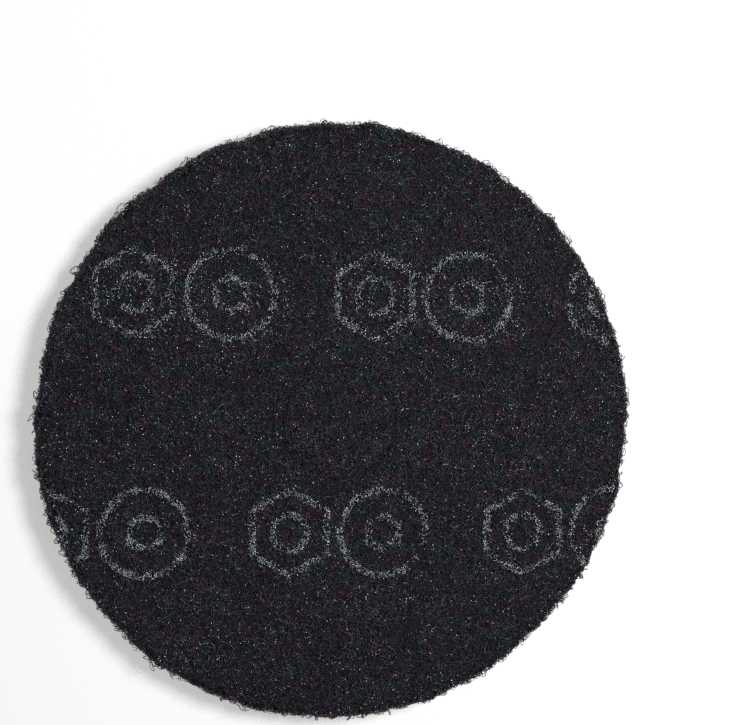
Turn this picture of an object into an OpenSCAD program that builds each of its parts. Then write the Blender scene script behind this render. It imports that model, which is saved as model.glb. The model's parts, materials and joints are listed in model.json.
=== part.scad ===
// Round floor pad of curled, resin-bonded fibre web, lying flat with its working face up.
// Origin at the centre of the back face, +Z through the thickness.
// Its centre plug is cut on a ring and can be pushed out for the machine's centring lock.
// The working face carries two rows of printed outline marks, which run off the die-cut edge.

/* [Pad] */
// Diameter across the die-cut edge
pad_d = 432; // [405:1:508]
// Thickness of the bonded web
pad_t = 25.4; // [19:0.1:32]

/* [Centre plug] */
// Diameter of the cut that frees the plug
hole_d = 82.6; // [60:0.1:100]
// Gap that the cut leaves all round the plug
kerf = 0.3; // [0.2:0.05:1]

/* [Printed marks] */
// Height of one mark
mark_h = 67; // [50:1:72]
// Gap between the two shapes of one mark
mark_gap = 6; // [4:0.5:12]
// Distance from one mark to the next along a row
mark_pitch = 173; // [160:1:200]
// Distance between the two rows
row_pitch = 172; // [160:1:180]
// Height of the midline between the rows above the centre
rows_up = 7; // [0:1:12]
// Angle at which the rows cross the pad, in degrees
row_slope = -1.2; // [-5:0.1:5]
// Width of a printed outline
line_w = 4; // [2:0.5:5]
// Depth to which the print presses into the web
print_depth = 0.6; // [0.3:0.1:1.5]

/* [Hidden] */

// circles are round; a hexagon's outline overrides this with six sides
$fn = 128;

// a cut runs this far past the faces that it opens
past = 1;

// the mark: a hexagon with a round hole, then a disc with a hexagonal hole, each drawn as an outline
shape_r = mark_h / 2;
hole_r = mark_h * 0.22;
hexagon_w = 2 * shape_r * cos(30);
mark_w = hexagon_w + mark_gap + 2 * shape_r;

// each row as [height above the centre, distance of its middle mark from the centre]
rows = [
    [rows_up + row_pitch / 2, 61],
    [rows_up - row_pitch / 2, 2]
];

// a hexagon with a corner at the top, r from its centre to its corners
module hexagon_outline(r) {
    rotate(30)
        difference() {
            circle(r = r, $fn = 6);
            circle(r = r - line_w / cos(30), $fn = 6);
        }
}

module round_outline(r) {
    difference() {
        circle(r = r);
        circle(r = r - line_w);
    }
}

// one mark, centred on its own middle
module mark() {
    translate([(hexagon_w - mark_w) / 2, 0]) {
        hexagon_outline(shape_r);
        round_outline(hole_r);
    }
    translate([mark_w / 2 - shape_r, 0]) {
        round_outline(shape_r);
        hexagon_outline(hole_r);
    }
}

// every mark that the web's roll leaves on this disc
module all_marks() {
    rotate(row_slope)
        for (row = rows, step = [-1:1])
            translate([row[1] + step * mark_pitch, row[0]])
                mark();
}

// the printed outlines as a solid from height z up, cut off at the pad's edge
module print_layer(z, height) {
    translate([0, 0, z])
        linear_extrude(height)
            intersection() {
                all_marks();
                circle(d = pad_d);
            }
}

module pad_ring() {
    color([0.035, 0.034, 0.039])
        difference() {
            cylinder(h = pad_t, d = pad_d);
            translate([0, 0, -past])
                cylinder(h = pad_t + 2 * past, d = hole_d);
            print_layer(pad_t - print_depth, print_depth + past);
        }
}

module centre_plug() {
    color([0.033, 0.032, 0.036])
        cylinder(h = pad_t, d = hole_d - 2 * kerf);
}

module face_marks() {
    color([0.38, 0.42, 0.46])
        print_layer(pad_t - print_depth, print_depth);
}

pad_ring();
centre_plug();
face_marks();
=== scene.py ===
"""Looks of a round floor pad of curled, resin-coated fibres, lying with its marked face up.

Each body of the pad has a dark, lumpy core. Curled strands, every one of them a closed tube, lie over
all its faces, mineral grit sticks to them, and flecks of pale print follow the outlines of face_marks.
"""

import json
import math
from functools import partial

import bpy
import numpy as np
from mathutils import Matrix, Vector


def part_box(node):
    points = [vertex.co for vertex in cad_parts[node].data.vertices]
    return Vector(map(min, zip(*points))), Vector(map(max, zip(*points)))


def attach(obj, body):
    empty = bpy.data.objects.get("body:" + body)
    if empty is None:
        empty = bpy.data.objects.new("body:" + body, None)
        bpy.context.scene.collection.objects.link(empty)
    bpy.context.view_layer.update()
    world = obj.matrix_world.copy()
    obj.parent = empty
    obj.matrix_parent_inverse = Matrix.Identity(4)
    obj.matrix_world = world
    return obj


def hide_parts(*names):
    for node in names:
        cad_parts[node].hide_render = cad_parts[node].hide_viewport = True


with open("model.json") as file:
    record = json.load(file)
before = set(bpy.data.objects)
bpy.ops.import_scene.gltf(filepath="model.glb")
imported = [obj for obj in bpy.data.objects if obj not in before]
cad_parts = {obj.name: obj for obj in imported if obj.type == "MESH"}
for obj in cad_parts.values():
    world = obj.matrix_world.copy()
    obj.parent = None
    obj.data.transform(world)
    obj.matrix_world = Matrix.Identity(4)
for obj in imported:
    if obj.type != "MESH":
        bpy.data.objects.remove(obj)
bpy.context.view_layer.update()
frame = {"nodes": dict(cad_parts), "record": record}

MM = 0.001
TURN = 2 * math.pi

# ---------------------------------------------------------------- sizes, from the frame
RING_LOW, RING_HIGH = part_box("pad_ring")
PAD_R = (RING_HIGH.x - RING_LOW.x) / 2
THICK = RING_HIGH.z
PLUG_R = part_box("centre_plug")[1].x
HOLE = next(m for m in frame["record"]["mounts"] if m["name"] == "centre_hole")
BORE_R = HOLE["dims"]["r_mm"] * MM
CUT_R = (PLUG_R + BORE_R) / 2

# ---------------------------------------------------------------- the faces and the core
LUMPS = [                       # height and width of the bumps in a face, from broad to fine
    (0.50 * MM, 26 * MM),
    (0.60 * MM, 7 * MM),
    (0.30 * MM, 2.6 * MM),
]
TOP_SEED = 11                   # seeds of the lumps in the top and in the back
BACK_SEED = 21
ROLL = 4.0 * MM                 # width of the worn, rounded corner at the edge
ROLL_DROP = 1.0 * MM            # how far the faces drop there
SKIN = 1.1 * MM                 # how far the core lies under the top
BACK_SKIN = 0.5 * MM            # how far it lies above the back
EDGE_SKIN = 2.2 * MM            # how far inside the pad's radius it ends, before it follows the ragged edge
CUT_SKIN = 0.15 * MM            # how far it stays from the plug's cut

# ---------------------------------------------------------------- the strands
STRAND_R = 0.21 * MM            # a strand with its coat of resin
SIDES = 3                       # corners of its cross-section
STEP = 1.5 * MM                 # length of one straight bit of it
SECTORS = 8                     # pieces that a face's strands are shared out into
SECTOR_SEED = 100               # keeps their seeds apart from those of the kinds below
STRAND_KINDS = [                # steps, share of the cover, and how fast the strand turns
    (7, 0.30, 0.30),
    (10, 0.45, 0.17),
    (14, 0.25, 0.12),
]
CURL_KINDS = [                  # number tried, steps, step length, how fast it turns, how far it stands out
    (7600, 5, 0.9 * MM, 0.80, 2.1 * MM),
    (1300, 9, 1.2 * MM, 0.45, 4.4 * MM),
    (60, 14, 1.5 * MM, 0.20, 7.0 * MM),
]
TOP_COVER = 0.95                # strand area over face area
BACK_COVER = 0.45
EDGE_COVER = 1.25
CUT_COVER = 0.8                 # the bore's wall and the plug's side
EDGE_OUT, EDGE_DOWN = 0.6, 0.9  # shares of an overhang past the edge that still go out, and that go down
EDGE_ROUND = 1.6 * MM           # how far the edge draws in at its two corners
CUT_OUT, CUT_DOWN = 0.3, 0.7    # the same shares at the plug's cut
CUT_REACH = 2 * MM              # an overhang longer than this goes no further into the cut
CUT_PROUD = 0.35 * MM           # the most that strands stand out of the cut's two walls
CUT_BELOW = 0.3 * MM            # how far they stay below the top
BACK_LUMPS, BACK_ARCH = 0.3, 0.6    # the back is flatter: these shares of the top's lumps and arches

# ---------------------------------------------------------------- the grit and the print
GRAIN_FACES = np.array([        # corners 0 to 2 are the ends of a grain's three axes, 3 to 5 the other ends
    [0, 1, 2], [1, 3, 2], [3, 4, 2], [4, 0, 2],
    [1, 0, 5], [3, 1, 5], [4, 3, 5], [0, 4, 5],
])
PRINT_SQUARE = 0.8 * MM         # the grid on which the print's outlines are looked up
PRINT_SPOTS = 400000            # places on the outlines that fill that grid
PRINT_DEPTH = -0.4 * MM         # strands lower in the web than this get no print
PRINT_WAVER = 0.4 * MM          # how far the print strays from its outlines
SMEAR = (9 * MM, -1.5 * MM)     # how far the upper row's print is doubled, across and up
SMEAR_SHARE = 0.18              # how much of it is doubled

# ---------------------------------------------------------------- the studio
FLOOR_HALF = 4.0
FLOOR_Z = -0.4 * MM


# ---------------------------------------------------------------- noise and shape
def value_noise(x, y, cell, seed):
    """Smooth noise from -1 to 1 with bumps about one cell wide."""
    size = 256
    table = np.random.default_rng(seed).uniform(-1, 1, (size, size))
    gx, gy = np.asarray(x) / cell, np.asarray(y) / cell
    ix, iy = np.floor(gx).astype(int), np.floor(gy).astype(int)
    fx, fy = gx - ix, gy - iy
    sx, sy = fx * fx * (3 - 2 * fx), fy * fy * (3 - 2 * fy)
    here = table[ix % size, iy % size]
    right = table[(ix + 1) % size, iy % size]
    up = table[ix % size, (iy + 1) % size]
    corner = table[(ix + 1) % size, (iy + 1) % size]
    low = here + (right - here) * sx
    high = up + (corner - up) * sx
    return low + (high - low) * sy


def lumps(x, y, seed):
    """How far the web's face stands above or below its mean."""
    return sum(height * value_noise(x, y, width, seed + i) for i, (height, width) in enumerate(LUMPS))


def edge_radius(angle, z):
    """Radius of the die-cut edge: a little out of round, and frayed."""
    x, y = np.cos(angle) * PAD_R, np.sin(angle) * PAD_R
    lean = 0.35 * z
    mean = PAD_R - 1.2 * MM
    broad = 0.8 * MM * value_noise(x, y, 70 * MM, seed=41)
    nicks = 1.8 * MM * value_noise(x + lean, y - lean, 15 * MM, seed=42)
    fray = 1.1 * MM * value_noise(x + z, y - z, 4.5 * MM, seed=43)
    wisps = 0.8 * MM * value_noise(x - z, y + z, 1.9 * MM, seed=44)
    return mean + broad + nicks + fray + wisps


def polar(x, y):
    return np.hypot(x, y), np.arctan2(y, x)


def round_points(radius, angle, z):
    """Points in the frame from their radius, angle and height."""
    return np.stack([radius * np.cos(angle), radius * np.sin(angle), z], -1)


def rolled(radius, rim):
    """Radius and drop of a face's point near the rim: the corner is rounded, and an overhang folds down."""
    past = radius - rim
    share = np.clip(past / ROLL + 1, 0, None)
    drop = ROLL_DROP * np.minimum(share, 1) ** 2 + EDGE_DOWN * np.maximum(past, 0)
    kept = np.where(past > 0, rim + EDGE_OUT * past, radius)
    return kept, drop


def held_at_cut(radius, wall, outward):
    """Radius and drop of a face's point by the plug's cut: an overhang bends down into the cut."""
    past = outward * (radius - wall)
    kept = np.where(past > 0, wall + outward * CUT_OUT * np.minimum(past, CUT_REACH), radius)
    return kept, CUT_DOWN * np.maximum(past, 0)


def bounced(z, low, high):
    """Folds z back into the span from low to high."""
    past = (z - low) % (2 * (high - low))
    return low + np.minimum(past, 2 * (high - low) - past)


# ---------------------------------------------------------------- where strands lie
# Each of ring_face, plug_face, edge_wall and cut_wall bends a flat sheet of strands over one face. It
# takes distances along, across and above the sheet, and the side meant, and gives points in the frame.
def on_face(radius, angle, above, side):
    x, y = radius * np.cos(angle), radius * np.sin(angle)
    if side == "top":
        z = THICK + lumps(x, y, TOP_SEED) + above
    else:
        z = -lumps(x, y, BACK_SEED) * BACK_LUMPS + BACK_SKIN - above * BACK_ARCH
        z = np.maximum(z, STRAND_R)
    return np.stack([x, y, z], -1)


def ring_face(x, y, above, side):
    radius, angle = polar(x, y)
    radius, edge_drop = rolled(radius, edge_radius(angle, 0))
    radius, cut_drop = held_at_cut(radius, BORE_R, -1)
    return on_face(radius, angle, above - edge_drop - cut_drop, side)


def plug_face(x, y, above, side):
    radius, angle = polar(x, y)
    radius, cut_drop = held_at_cut(radius, PLUG_R, 1)
    return on_face(radius, angle, above - cut_drop, side)


def edge_wall(along, z, above, side):
    """The die-cut edge, which has only one side."""
    angle = along / PAD_R
    z = bounced(z, STRAND_R, THICK)
    corner = np.clip(np.abs(z - THICK / 2) / (THICK / 2), 0, 1) ** 6
    return round_points(edge_radius(angle, z) - corner * EDGE_ROUND + above, angle, z)


def cut_wall(along, z, above, side):
    """The bore's wall if side is bore, and otherwise the plug's side."""
    base, outward = (BORE_R, -1) if side == "bore" else (PLUG_R, 1)
    angle = along / base
    z = bounced(z, STRAND_R, THICK - CUT_BELOW)
    return round_points(base + outward * np.minimum(above, CUT_PROUD), angle, z)


def spots_in_ring(rng, count, inner, outer):
    """Places in a flat ring, thicker in some spots of the web than in others."""
    tries = 2 * count
    radius = np.sqrt(rng.uniform(inner ** 2, outer ** 2, tries))
    angle = rng.uniform(0, TURN, tries)
    x, y = radius * np.cos(angle), radius * np.sin(angle)
    tufts = 0.35 * value_noise(x, y, 5 * MM, seed=31)
    clouds = 0.2 * value_noise(x, y, 14 * MM, seed=32)
    order = np.argsort(rng.uniform(0, 1, tries) - (tufts + clouds))[:count]
    return x[order], y[order]


def spots_on_wall(rng, count, radius):
    """Places on a round wall, as distances along it and above the back."""
    return rng.uniform(0, TURN * radius, count), rng.uniform(0, THICK, count)


# ---------------------------------------------------------------- strands
def drawn(rng, low, high, count):
    """One even random value for each strand, as a column."""
    return rng.uniform(low, high, count)[:, None]


def curled_paths(rng, along, across, steps, curl, step=STEP, crimp=0.7, rise=0.9 * MM, sink=0.9 * MM):
    """Centrelines over a flat sheet, as (strands, steps + 1, 3).

    Each turns one way and is crimped. It arches up to rise above the sheet, and its ends dive by sink.
    """
    count = len(along)
    travelled = np.arange(steps + 1) * step / MM
    turning = rng.normal(0, curl, count)[:, None] * travelled
    waves = drawn(rng, 0.4, 0.9, count) * travelled + drawn(rng, 0, TURN, count)
    heading = drawn(rng, 0, TURN, count) + turning + crimp * np.sin(waves)
    forward = np.cumsum(np.cos(heading), 1) * step
    sideways = np.cumsum(np.sin(heading), 1) * step
    forward -= forward.mean(1, keepdims=True)
    sideways -= sideways.mean(1, keepdims=True)
    arch = np.sin(np.pi * np.arange(steps + 1) / steps)
    ripple = 0.25 * MM * np.sin(waves * 1.7)
    height = drawn(rng, 0.15, 1.0, count) * rise + sink
    above = height * arch - sink + ripple
    return along[:, None] + forward, across[:, None] + sideways, above


def unit(vectors):
    return vectors / (np.linalg.norm(vectors, axis=-1, keepdims=True) + 1e-12)


def tubes(paths, radii):
    """Closed tubes round the paths: points, the quads of their sides and the triangles of their ends."""
    count, rings, _ = paths.shape
    tangent = unit(np.gradient(paths, axis=1))
    upright = np.abs(tangent[:, 0, 2:3]) >= 0.9
    helper = np.where(upright, [[1.0, 0.0, 0.0]], [[0.0, 0.0, 1.0]])
    normal = np.cross(tangent[:, 0], helper)
    normals = np.empty_like(paths)
    for ring in range(rings):
        here = tangent[:, ring]
        normal = unit(normal - here * (normal * here).sum(1, keepdims=True))
        normals[:, ring] = normal
    binormals = np.cross(tangent, normals)
    corner = (np.arange(SIDES) / SIDES * TURN)[:, None]
    offset = normals[:, :, None] * np.cos(corner) + binormals[:, :, None] * np.sin(corner)
    points = paths[:, :, None] + offset * radii[:, :, None, None]
    index = np.arange(count * rings * SIDES).reshape(count, rings, SIDES)
    after = np.roll(index, -1, axis=2)
    quads = np.stack([index[:, :-1], after[:, :-1], after[:, 1:], index[:, 1:]], -1)
    caps = np.concatenate([index[:, 0, ::-1], index[:, -1]])
    return points.reshape(-1, 3), quads.reshape(-1, 4), caps


def strand_radii(rng, count, rings, scale):
    """Strand thickness along each path: uneven resin, thinner ends."""
    each = rng.uniform(0.8, 1.25, (count, 1))
    uneven = rng.uniform(0.85, 1.2, (count, rings))
    from_end = np.minimum(np.arange(rings), np.arange(rings)[::-1])
    ends = np.minimum(1, 0.55 + from_end * 0.3)
    return STRAND_R * scale * each * uneven * ends


def strand_groups(face, side, cover, area, spots, seed):
    """Short, middling and long strands over one face, each kind an array of paths."""
    groups = []
    for index, (steps, share, curl) in enumerate(STRAND_KINDS):
        rng = np.random.default_rng([seed, index])
        count = int(cover * share * area / (2 * STRAND_R * STEP * steps))
        along, across = spots(rng, count)
        groups.append(face(*curled_paths(rng, along, across, steps, curl), side))
    return groups


def sector_of(paths):
    """Which of the pad's sectors each path starts in."""
    angle = np.arctan2(paths[:, 0, 1], paths[:, 0, 0]) % TURN
    return (angle / TURN * SECTORS).astype(int) % SECTORS


# ---------------------------------------------------------------- meshes
def mesh_piece(name, points, faces, material, shade=None, smooth=True):
    """A mesh from arrays of faces, each with one number of corners. shade is a value for each point."""
    mesh = bpy.data.meshes.new(name)
    mesh.vertices.add(len(points))
    mesh.vertices.foreach_set("co", np.asarray(points, np.float32).ravel())
    corners = np.concatenate([f.ravel() for f in faces]).astype(np.int32)
    sizes = np.concatenate([np.full(len(f), f.shape[1]) for f in faces])
    starts = np.concatenate([[0], np.cumsum(sizes)[:-1]]).astype(np.int32)
    mesh.loops.add(len(corners))
    mesh.loops.foreach_set("vertex_index", corners)
    mesh.polygons.add(len(sizes))
    mesh.polygons.foreach_set("loop_start", starts)
    mesh.polygons.foreach_set("use_smooth", np.full(len(sizes), smooth))
    if shade is not None:
        made = mesh.attributes.new("shade", "FLOAT", "POINT")
        made.data.foreach_set("value", np.asarray(shade, np.float32))
    mesh.update(calc_edges=True)
    mesh.materials.append(material)
    piece = bpy.data.objects.new(name, mesh)
    bpy.context.scene.collection.objects.link(piece)
    return piece


def strand_piece(name, rng, groups, material, scale=1.0):
    """One mesh of all the strands in groups, each group an array of paths."""
    points, quads, caps, shades = [], [], [], []
    first = 0
    for paths in groups:
        count, rings, _ = paths.shape
        corners, sides, ends = tubes(paths, strand_radii(rng, count, rings, scale))
        each = rng.uniform(0, 0.3, (count, 1))
        # random tone along each strand: through coated_strand's ramp the brightest spots are uneven resin
        # and painted glints, through pale_print's ramp they are the print's own tone
        spots = rng.beta(1.0, 2.5, (count, rings))
        shade = np.clip(each + 0.9 * spots, 0, 1)
        points.append(corners)
        quads.append(sides + first)
        caps.append(ends + first)
        shades.append(np.repeat(shade.ravel(), SIDES))
        first += len(corners)
    faces = [np.concatenate(quads), np.concatenate(caps)]
    return mesh_piece(name, np.concatenate(points), faces, material, np.concatenate(shades))


def web_of(piece, body):
    """Makes a piece part of the web of that body."""
    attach(piece, body)


# ---------------------------------------------------------------- materials
def new_material(name):
    material = bpy.data.materials.new(name)
    material.use_nodes = True
    tree = material.node_tree
    return material, tree, tree.nodes["Principled BSDF"]


def add_node(tree, kind, **values):
    """A new node, with values for its inputs or its own settings."""
    node = tree.nodes.new(kind)
    for key, value in values.items():
        if key in node.inputs:
            node.inputs[key].default_value = value
        else:
            setattr(node, key, value)
    return node


def add_noise(tree, scale, detail):
    noise = add_node(tree, "ShaderNodeTexNoise", Scale=scale, Detail=detail)
    place = add_node(tree, "ShaderNodeTexCoord")
    tree.links.new(place.outputs["Object"], noise.inputs["Vector"])
    return noise


def add_mesh_of_strands(tree, size):
    """How far a point is from a net of wandering lines, 0 on the lines."""
    place = add_node(tree, "ShaderNodeTexCoord")
    wander = add_noise(tree, 1 / (0.8 * size), 2.0)
    shift = add_node(tree, "ShaderNodeVectorMath", operation="MULTIPLY_ADD")
    shift.inputs[1].default_value = (1.6 * size,) * 3
    tree.links.new(wander.outputs["Color"], shift.inputs[0])
    tree.links.new(place.outputs["Object"], shift.inputs[2])
    net = add_node(tree, "ShaderNodeTexVoronoi", Scale=1 / size, feature="DISTANCE_TO_EDGE")
    tree.links.new(shift.outputs["Vector"], net.inputs["Vector"])
    return net.outputs["Distance"]


def add_ramp(tree, source, stops):
    ramp = add_node(tree, "ShaderNodeValToRGB")
    while len(ramp.color_ramp.elements) < len(stops):
        ramp.color_ramp.elements.new(0.5)
    for element, (place, colour) in zip(ramp.color_ramp.elements, stops):
        element.position = place
        element.color = (*colour, 1)
    tree.links.new(source, ramp.inputs["Fac"])
    return ramp.outputs["Color"]


def tinted(tree, colour, cell, strength):
    """colour multiplied by faint clouds of a purple and a sea-green tint."""
    cloud = add_noise(tree, 1 / cell, 3.0)
    tint = add_ramp(tree, cloud.outputs["Fac"], [
        (0.32, (1.0 + strength, 1.0 - strength, 1.0 + strength)),
        (0.50, (1.0, 1.0, 1.0)),
        (0.68, (1.0 - strength, 1.0 + strength * 0.4, 1.0 + strength * 0.2)),
    ])
    mix = add_node(tree, "ShaderNodeMix", data_type="RGBA", blend_type="MULTIPLY")
    mix.inputs["Factor"].default_value = 1.0
    tree.links.new(colour, mix.inputs["A"])
    tree.links.new(tint, mix.inputs["B"])
    return mix.outputs["Result"]


def core_material():
    """The deep of the web: nearly black with painted shade, crossed by matted strands that little light
    reaches.
    """
    material, tree, shader = new_material("web_core")
    matted = add_mesh_of_strands(tree, 2.6 * MM)
    # painted shade: the core is darker than the strands, lightest on its matted strands and near black
    # between them
    colour = add_ramp(tree, matted, [
        (0.0, (0.014, 0.0135, 0.016)),
        (0.10, (0.008, 0.0078, 0.0095)),
        (0.22, (0.0012, 0.0011, 0.0014)),
    ])
    tree.links.new(tinted(tree, colour, 12 * MM, 0.36), shader.inputs["Base Color"])
    bump = add_node(tree, "ShaderNodeBump", Strength=1.0, Distance=0.5 * MM, invert=True)
    tree.links.new(matted, bump.inputs["Height"])
    tree.links.new(bump.outputs["Normal"], shader.inputs["Normal"])
    shader.inputs["Roughness"].default_value = 0.75
    shader.inputs["Specular IOR Level"].default_value = 0.08
    return material


def strand_material():
    """Resin-coated strands: dark, speckled with fine grit and painted glints, with a satin glint."""
    material, tree, shader = new_material("coated_strand")
    shade = add_node(tree, "ShaderNodeAttribute", attribute_name="shade")
    speckle = add_noise(tree, 1 / (0.9 * MM), 1.0)
    both = add_node(tree, "ShaderNodeMath", operation="MULTIPLY_ADD")
    both.inputs[1].default_value = 0.45
    tree.links.new(shade.outputs["Fac"], both.inputs[0])
    tree.links.new(speckle.outputs["Fac"], both.inputs[2])
    # the top stop paints glints on the brightest spots; the lower stops are the strands' own uneven tone
    colour = add_ramp(tree, both.outputs["Value"], [
        (0.40, (0.0012, 0.0011, 0.0015)),
        (0.64, (0.0088, 0.0084, 0.0110)),
        (0.85, (0.028, 0.028, 0.034)),
        (1.0, (0.13, 0.135, 0.145)),
    ])
    tree.links.new(tinted(tree, colour, 12 * MM, 0.36), shader.inputs["Base Color"])
    shader.inputs["Roughness"].default_value = 0.38
    shader.inputs["Specular IOR Level"].default_value = 0.2
    return material


def shaded_material(name, stops, cell, strength, roughness):
    """A material whose colour follows the mesh's shade, with faint tints."""
    material, tree, shader = new_material(name)
    shade = add_node(tree, "ShaderNodeAttribute", attribute_name="shade")
    colour = add_ramp(tree, shade.outputs["Fac"], stops)
    tree.links.new(tinted(tree, colour, cell, strength), shader.inputs["Base Color"])
    shader.inputs["Roughness"].default_value = roughness
    return material


def grit_and_glint_material():
    """Mineral grains: mostly dark, a few coloured near white as painted glints, where real grains would
    catch the light.
    """
    stops = [
        # the near-white end paints glints: the grains' own tone is the dark part of this ramp
        (0.0, (0.015, 0.015, 0.018)),
        (0.38, (0.14, 0.14, 0.15)),
        (0.75, (0.90, 0.91, 0.94)),
    ]
    return shaded_material("grit_with_painted_glints", stops, cell=3 * MM, strength=0.25, roughness=0.22)


def print_material():
    """Flecks of pale blue-grey print, thick on some strands and thin on others."""
    stops = [
        (0.05, (0.05, 0.06, 0.07)),
        (0.35, (0.15, 0.175, 0.20)),
        (0.8, (0.86, 0.91, 0.95)),
    ]
    return shaded_material("pale_print", stops, cell=5 * MM, strength=0.12, roughness=0.5)


def floor_material():
    """Plain and pale. Its glow softens the shadow, and grows away from the pad, where no lamp reaches."""
    material, tree, shader = new_material("pale_floor")
    cloud = add_noise(tree, 3.0, 2.0)
    colour = add_ramp(tree, cloud.outputs["Fac"], [
        (0.3, (0.54, 0.54, 0.533)),
        (0.7, (0.57, 0.57, 0.563)),
    ])
    tree.links.new(colour, shader.inputs["Base Color"])
    place = add_node(tree, "ShaderNodeTexCoord")
    shrunk = add_node(tree, "ShaderNodeVectorMath", operation="SCALE", Scale=1 / FLOOR_HALF)
    tree.links.new(place.outputs["Object"], shrunk.inputs[0])
    nearness = add_node(tree, "ShaderNodeTexGradient", gradient_type="SPHERICAL")
    tree.links.new(shrunk.outputs["Vector"], nearness.inputs["Vector"])
    glow = add_ramp(tree, nearness.outputs["Fac"], [
        (0.22, (0.68, 0.68, 0.67)),
        (0.45, (0.65, 0.65, 0.64)),
        (0.60, (0.59, 0.59, 0.58)),
        (0.67, (0.53, 0.53, 0.52)),
        (0.76, (0.36, 0.36, 0.355)),
        (0.83, (0.25, 0.25, 0.247)),
    ])
    tree.links.new(glow, shader.inputs["Emission Color"])
    shader.inputs["Emission Strength"].default_value = 1.0
    shader.inputs["Roughness"].default_value = 0.9
    return material


# ---------------------------------------------------------------- the cores
def lathe(profile, spokes):
    """Radius, angle and height of rings of points round +Z, a ring for each (radius, z) of the profile."""
    radius, z = (np.array(values)[:, None] for values in zip(*profile))
    angle = np.arange(spokes)[None] / spokes * TURN
    return np.broadcast_arrays(radius, angle, z)


def grid_faces(rows, columns, closed):
    """Quads of a grid that closes round its columns, and round its rows if closed."""
    index = np.arange(rows * columns).reshape(rows, columns)
    below = index if closed else index[:-1]
    above = np.roll(index, -1, axis=0) if closed else index[1:]
    return np.stack([below, np.roll(below, -1, 1), np.roll(above, -1, 1), above], -1).reshape(-1, 4)


def span(start, end, pitch):
    """Evenly spaced values from start up to, but not at, end."""
    count = max(2, round(abs(end - start) / pitch))
    return [start + (end - start) * i / count for i in range(count)]


def core_profile(inner, outer, pitch):
    """The core's outline from the inside of its back, round its edge, to the inside of its top."""
    bottom, top = BACK_SKIN, THICK - SKIN
    profile = [(r, bottom) for r in span(inner, outer, pitch)]
    profile += [(outer, z) for z in span(bottom, top, pitch)]
    profile += [(r, top) for r in span(outer, inner, pitch)]
    return profile


def ring_core(material):
    pitch, spokes = 3 * MM, 460
    inner, outer = BORE_R + CUT_SKIN, PAD_R - EDGE_SKIN
    bottom, top = BACK_SKIN, THICK - SKIN
    profile = core_profile(inner, outer, pitch)
    profile += [(inner, z) for z in span(top, bottom, pitch)]
    radius, angle, z = lathe(profile, spokes)
    x, y = radius * np.cos(angle), radius * np.sin(angle)
    at_edge = np.clip((radius - (outer - ROLL)) / ROLL, 0, 1)
    radius = radius + at_edge * (edge_radius(angle, z) - PAD_R + 0.4 * MM)
    is_high = (z - bottom) / (top - bottom) > 0.5
    high = z + lumps(x, y, TOP_SEED) - ROLL_DROP * at_edge ** 2
    low = z + 0.3 * MM * value_noise(x, y, 6 * MM, seed=23)
    z = np.maximum(np.where(is_high, high, low), 0.2 * MM)
    points = round_points(radius, angle, z).reshape(-1, 3)
    return mesh_piece("web_ring", points, [grid_faces(len(profile), spokes, closed=True)], material)


def plug_core(material):
    pitch, spokes = 2.4 * MM, 110
    inner, outer = 0.6 * MM, PLUG_R - CUT_SKIN
    profile = core_profile(inner, outer, pitch) + [(inner, THICK - SKIN)]
    radius, angle, z = lathe(profile, spokes)
    x, y = radius * np.cos(angle), radius * np.sin(angle)
    low_lumps = 0.2 * MM * value_noise(x, y, 6 * MM, seed=23)
    z = z + np.where(z > THICK / 2, lumps(x, y, TOP_SEED), low_lumps)
    points = round_points(radius, angle, z).reshape(-1, 3)
    first_ring = np.arange(spokes)
    last_ring = first_ring + len(points) - spokes
    caps = [first_ring[::-1][None], last_ring[None]]
    faces = [grid_faces(len(profile), spokes, closed=False), *caps]
    return mesh_piece("web_plug", points, faces, material)


# ---------------------------------------------------------------- the strands' pieces
def sector_pieces(name, groups, material, body, seed):
    """One piece for each sector of a face's strands."""
    for sector in range(SECTORS):
        rng = np.random.default_rng([seed, SECTOR_SEED + sector])
        chosen = [paths[sector_of(paths) == sector] for paths in groups]
        web_of(strand_piece(f"{name}_{sector + 1}", rng, chosen, material), body)


def ring_strands(material):
    """Strands over the ring's top, back and edge. Gives those of its top and its edge."""
    area = math.pi * (PAD_R ** 2 - BORE_R ** 2)
    over = partial(spots_in_ring, inner=BORE_R + 1 * MM, outer=PAD_R - 0.5 * MM)
    top = strand_groups(ring_face, "top", TOP_COVER, area, over, seed=101)
    sector_pieces("top_strands", top, material, "pad", seed=101)
    back = strand_groups(ring_face, "back", BACK_COVER, area, over, seed=102)
    sector_pieces("back_strands", back, material, "pad", seed=102)
    round_edge = partial(spots_on_wall, radius=PAD_R)
    edge = strand_groups(edge_wall, "edge", EDGE_COVER, TURN * PAD_R * THICK, round_edge, seed=103)
    sector_pieces("edge_strands", edge, material, "pad", seed=103)
    return top, edge


def bore_strands(material):
    """Strands over the wall of the centre hole."""
    round_cut = partial(spots_on_wall, radius=CUT_R)
    bore = strand_groups(cut_wall, "bore", CUT_COVER, TURN * CUT_R * THICK, round_cut, seed=104)
    web_of(strand_piece("bore_strands", np.random.default_rng(1104), bore, material), "pad")


def plug_strands(material):
    """Strands over all of the plug. Gives those of its top."""
    area = math.pi * PLUG_R ** 2
    over = partial(spots_in_ring, inner=0, outer=PLUG_R - 1 * MM)
    round_cut = partial(spots_on_wall, radius=CUT_R)
    top = strand_groups(plug_face, "top", TOP_COVER, area, over, seed=105)
    back = strand_groups(plug_face, "back", BACK_COVER, area, over, seed=106)
    side = strand_groups(cut_wall, "plug", CUT_COVER, TURN * CUT_R * THICK, round_cut, seed=107)
    piece = strand_piece("plug_strands", np.random.default_rng(1105), top + back + side, material)
    web_of(piece, "plug")
    return top


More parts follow.
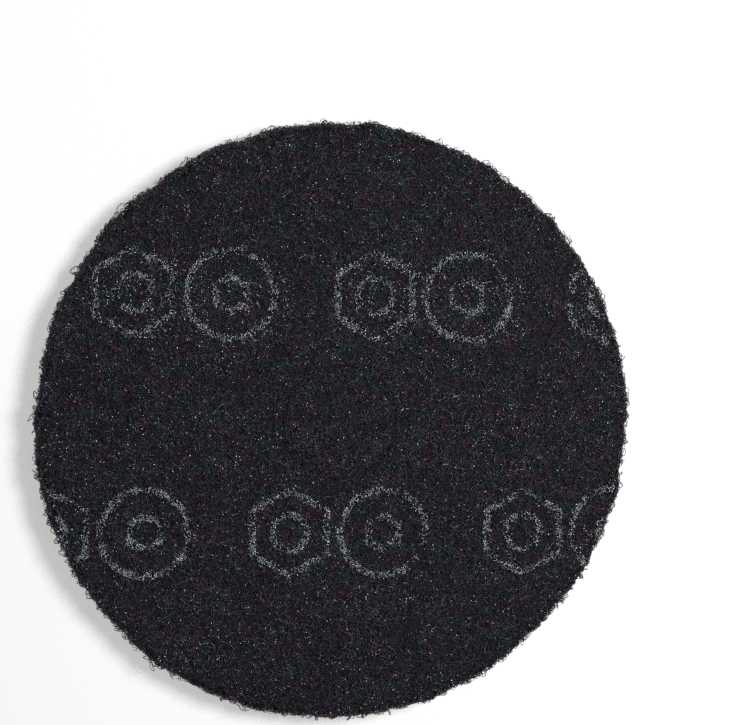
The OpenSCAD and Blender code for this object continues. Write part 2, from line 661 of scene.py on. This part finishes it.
def edge_curls(material):
    """Loose loops that stand out from the edge, and a few longer strays."""
    rng = np.random.default_rng(201)
    groups = []
    for tried, steps, step, curl, rise in CURL_KINDS:
        along, z = spots_on_wall(rng, tried, PAD_R)
        tufty = value_noise(along, z, 6 * MM, seed=202) + rng.uniform(-0.5, 0.5, tried) > -0.1
        shape = dict(step=step, rise=rise, sink=0.4 * MM, crimp=1.0)
        paths = curled_paths(rng, along[tufty], z[tufty], steps, curl, **shape)
        groups.append(edge_wall(*paths, "edge"))
    web_of(strand_piece("edge_curls", rng, groups, material, scale=1.35), "pad")


# ---------------------------------------------------------------- the grit and the print
def grit_piece(name, groups, material, body, seed, count):
    """Eight-sided grains stuck on the strands, where they arch highest."""
    rng = np.random.default_rng(seed)
    middles = [paths[:, paths.shape[1] // 3:-paths.shape[1] // 3] for paths in groups]
    places = np.concatenate([middle.reshape(-1, 3) for middle in middles])
    centre = places[rng.integers(0, len(places), count)]
    centre = centre + rng.normal(0, 0.16 * MM, centre.shape)
    size = rng.uniform(0.18, 0.42, (count, 1, 1)) * MM
    stretch = rng.uniform(0.7, 1.3, (count, 6, 1))
    axes = np.linalg.qr(rng.normal(0, 1, (count, 3, 3)))[0]
    corners = np.concatenate([axes, -axes], 1) * stretch * size + centre[:, None]
    faces = GRAIN_FACES[None] + 6 * np.arange(count)[:, None, None]
    # the high end of this shade becomes a painted glint through the grit's ramp
    shade = np.repeat(rng.beta(0.8, 2.0, count), corners.shape[1])
    piece = mesh_piece(name, corners.reshape(-1, 3), [faces.reshape(-1, 3)], material, shade, smooth=False)
    web_of(piece, body)


def spots_on_marks(rng, count):
    """Places spread evenly over the printed outlines, which are the top faces of face_marks."""
    mesh = frame["nodes"]["face_marks"].data
    mesh.calc_loop_triangles()
    points = np.array([v.co for v in mesh.vertices])
    corners = np.array([t.vertices for t in mesh.loop_triangles])
    a, b, c = (points[corners[:, i]] for i in range(3))
    cross = np.cross(b - a, c - a)
    faces_up = cross[:, 2] > 0.9 * np.linalg.norm(cross, axis=1)
    area = np.where(faces_up, cross[:, 2], 0)
    chosen = rng.choice(len(area), count, p=area / area.sum())
    s, t = rng.uniform(0, 1, (2, count, 1))
    flip = s + t > 1
    s, t = np.where(flip, 1 - s, s), np.where(flip, 1 - t, t)
    return (a[chosen] + s * (b - a)[chosen] + t * (c - a)[chosen])[:, :2]


def print_squares(spots):
    """The squares of a fine grid over the face that hold any of the spots."""
    count = int(2 * PAD_R / PRINT_SQUARE) + 1
    squares = np.zeros((count, count), bool)
    column, row = ((spots + PAD_R) / PRINT_SQUARE).astype(int).T
    squares[column, row] = True
    return squares


def is_printed(squares, x, y):
    last = len(squares) - 1
    column = np.clip((x + PAD_R) / PRINT_SQUARE, 0, last).astype(int)
    row = np.clip((y + PAD_R) / PRINT_SQUARE, 0, last).astype(int)
    return squares[column, row]


def printed_bits(rng, squares, x, y, z):
    """Which bits of strand, by their middles, carry print: patchy, wavering, doubled in the upper row."""
    jitter = rng.normal(0, PRINT_WAVER, (2, len(x)))
    wavy_x = x + PRINT_WAVER * value_noise(x, y, 11 * MM, seed=303) + jitter[0]
    wavy_y = y + PRINT_WAVER * value_noise(x, y, 11 * MM, seed=304) + jitter[1]
    printed = is_printed(squares, wavy_x, wavy_y)
    doubled = is_printed(squares, wavy_x - SMEAR[0], wavy_y - SMEAR[1])
    printed |= doubled & (y > 0) & (rng.uniform(0, 1, len(x)) < SMEAR_SHARE)
    proud = z - THICK - lumps(x, y, TOP_SEED) > PRINT_DEPTH
    kept = 0.5 * value_noise(x, y, 5 * MM, seed=302) + rng.uniform(-1, 1, len(x)) > -0.5
    return printed & proud & kept


def mark_flecks(top, material):
    """Print on the highest bits of strand along the outlines of face_marks."""
    rng = np.random.default_rng(301)
    squares = print_squares(spots_on_marks(rng, PRINT_SPOTS))
    groups = []
    for paths in top:
        start = paths[:, :-1].reshape(-1, 3)
        along = paths[:, 1:].reshape(-1, 3) - start
        chosen = printed_bits(rng, squares, *(start + along / 2).T)
        first = rng.uniform(0, 0.35, (chosen.sum(), 1))
        last = first + rng.uniform(0.35, 0.65, first.shape)
        bits = [start[chosen] + along[chosen] * part for part in (first, last)]
        groups.append(np.stack(bits, 1))
    piece = strand_piece("mark_flecks", rng, groups, material, scale=2.5)
    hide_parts("face_marks")
    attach(piece, "pad")


# ---------------------------------------------------------------- the studio's pieces
def add_floor():
    corners = [(-1, -1), (1, -1), (1, 1), (-1, 1)]
    points = np.array([(FLOOR_HALF * x, FLOOR_HALF * y, FLOOR_Z) for x, y in corners])
    floor = mesh_piece("floor", points, [np.array([[0, 1, 2, 3]])], floor_material(), smooth=False)


def add_light(name, place, size, power):
    """A round, soft lamp that points at the middle of the pad's back."""
    lamp = bpy.data.lights.new(name, "AREA")
    lamp.shape = "DISK"
    lamp.size = size
    lamp.energy = power
    holder = bpy.data.objects.new(name, lamp)
    holder.location = place
    holder.rotation_euler = (-Vector(place)).to_track_quat("-Z", "Y").to_euler()
    bpy.context.scene.collection.objects.link(holder)


def add_camera():
    """Looks nearly straight down on the face, from a little to the left. The pad is low left in view."""
    tilt, turn = math.radians(10), math.radians(155)
    distance, seen_width = 1.35, 0.536
    aim = Vector((0.0225, 0.0435, THICK / 2))
    back = Vector((math.sin(tilt) * math.cos(turn), math.sin(tilt) * math.sin(turn), math.cos(tilt)))
    right = Vector((0, 1, 0)).cross(back).normalized()
    up = back.cross(right)
    camera = bpy.data.cameras.new("camera")
    camera.sensor_width = 36
    camera.lens = camera.sensor_width * distance / seen_width
    holder = bpy.data.objects.new("camera", camera)
    axes = Matrix((right, up, back)).transposed().to_4x4()
    holder.matrix_world = Matrix.Translation(aim + back * distance) @ axes
    bpy.context.scene.collection.objects.link(holder)
    bpy.context.scene.camera = holder


def add_world():
    """A sky that is pale near the horizon, as the far floor is, and dimmer overhead."""
    world = bpy.data.worlds.new("studio")
    world.use_nodes = True
    tree = world.node_tree
    place = add_node(tree, "ShaderNodeTexCoord")
    split = add_node(tree, "ShaderNodeSeparateXYZ")
    tree.links.new(place.outputs["Generated"], split.inputs["Vector"])
    sky = add_ramp(tree, split.outputs["Z"], [
        (0.05, (0.82, 0.82, 0.81)),
        (0.40, (0.20, 0.20, 0.20)),
    ])
    tree.links.new(sky, tree.nodes["Background"].inputs["Color"])
    bpy.context.scene.world = world


def build_pad():
    core, strand, grit = core_material(), strand_material(), grit_and_glint_material()
    ring = ring_core(core)
    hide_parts("pad_ring")
    web_of(ring, "pad")
    plug = plug_core(core)
    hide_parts("centre_plug")
    web_of(plug, "plug")
    ring_top, ring_edge = ring_strands(strand)
    bore_strands(strand)
    plug_top = plug_strands(strand)
    edge_curls(strand)
    grit_piece("face_grit", ring_top, grit, "pad", seed=401, count=16000)
    grit_piece("edge_grit", ring_edge, grit, "pad", seed=403, count=3600)
    grit_piece("plug_grit", plug_top, grit, "plug", seed=402, count=600)
    mark_flecks(ring_top, print_material())


add_camera()
build_pad()
add_floor()
add_world()
add_light("key", place=(0.75, 0.35, 1.35), size=0.6, power=27)
add_light("front", place=(-0.25, 0.1, 1.6), size=0.2, power=9)
bpy.context.scene.view_settings.view_transform = "Standard"
# the denoiser would smear the grit's glints, which are about a pixel wide
bpy.context.scene.cycles.use_denoising = False
